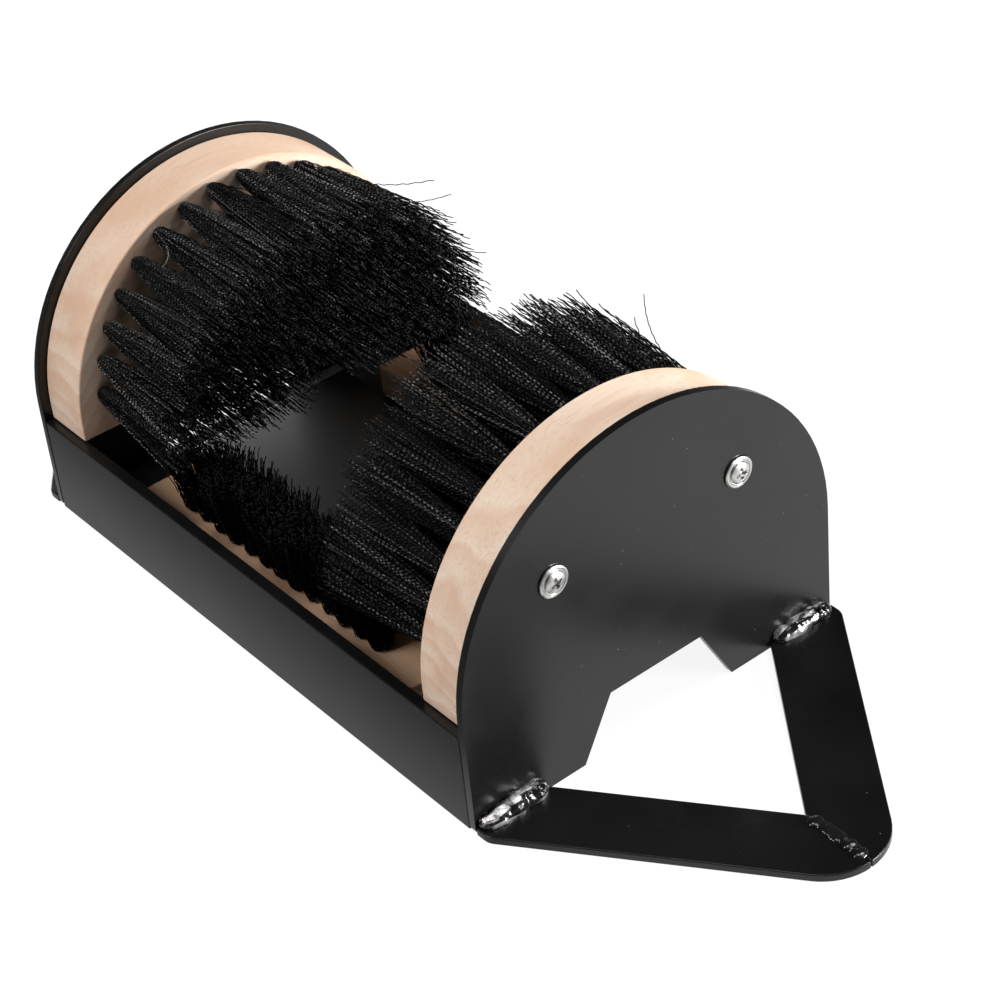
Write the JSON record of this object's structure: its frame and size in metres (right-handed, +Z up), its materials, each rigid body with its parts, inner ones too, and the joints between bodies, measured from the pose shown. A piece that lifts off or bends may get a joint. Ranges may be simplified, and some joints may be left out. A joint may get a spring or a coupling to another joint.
{
  "type": "boot scraper",
  "caption": "Black steel floor frame with half-round end plates, stiff side and bottom brushes in wooden backs, and a flat V-shaped outrigger at each end.",
  "frame": {"origin": "on the floor, under the middle of the frame", "axes": "+X from the left end plate to the right one, +Y from the front strip to the rear one, +Z up"},
  "size_m": [0.4516, 0.16, 0.1256],
  "materials": {
    "coated_steel": "satin black powder coat",
    "wood": "bare pale beech, sanded, with soft straight grain",
    "bristles": "black crimped nylon filaments",
    "zinc": "bright zinc plating",
    "weld_metal": "lumpy weld bead under thin glossy black coat"
  },
  "bodies": {
    "root": {"right_end_plate": "coated_steel", "right_brush_block": "wood", "right_brush_tufts": "bristles", "right_front_outrigger": "coated_steel", "right_front_foot_weld": "weld_metal", "right_front_corner_weld": "weld_metal", "right_front_block_screw": "zinc", "right_rear_outrigger": "coated_steel", "right_rear_foot_weld": "weld_metal", "right_rear_corner_weld": "weld_metal", "right_rear_block_screw": "zinc", "right_mitre_weld": "weld_metal", "left_end_plate": "coated_steel", "left_brush_block": "wood", "left_brush_tufts": "bristles", "left_front_outrigger": "coated_steel", "left_front_foot_weld": "weld_metal", "left_front_corner_weld": "weld_metal", "left_front_block_screw": "zinc", "left_rear_outrigger": "coated_steel", "left_rear_foot_weld": "weld_metal", "left_rear_corner_weld": "weld_metal", "left_rear_block_screw": "zinc", "left_mitre_weld": "weld_metal", "front_strip": "coated_steel", "front_brush_board": "wood", "front_brush_tufts": "bristles", "front_left_board_screw": "zinc", "front_left_base_weld": "weld_metal", "front_right_board_screw": "zinc", "front_right_base_weld": "weld_metal", "rear_strip": "coated_steel", "rear_brush_board": "wood", "rear_brush_tufts": "bristles", "rear_left_board_screw": "zinc", "rear_left_base_weld": "weld_metal", "rear_right_board_screw": "zinc", "rear_right_base_weld": "weld_metal", "base_plate": "coated_steel"}
  },
  "joints": []
}
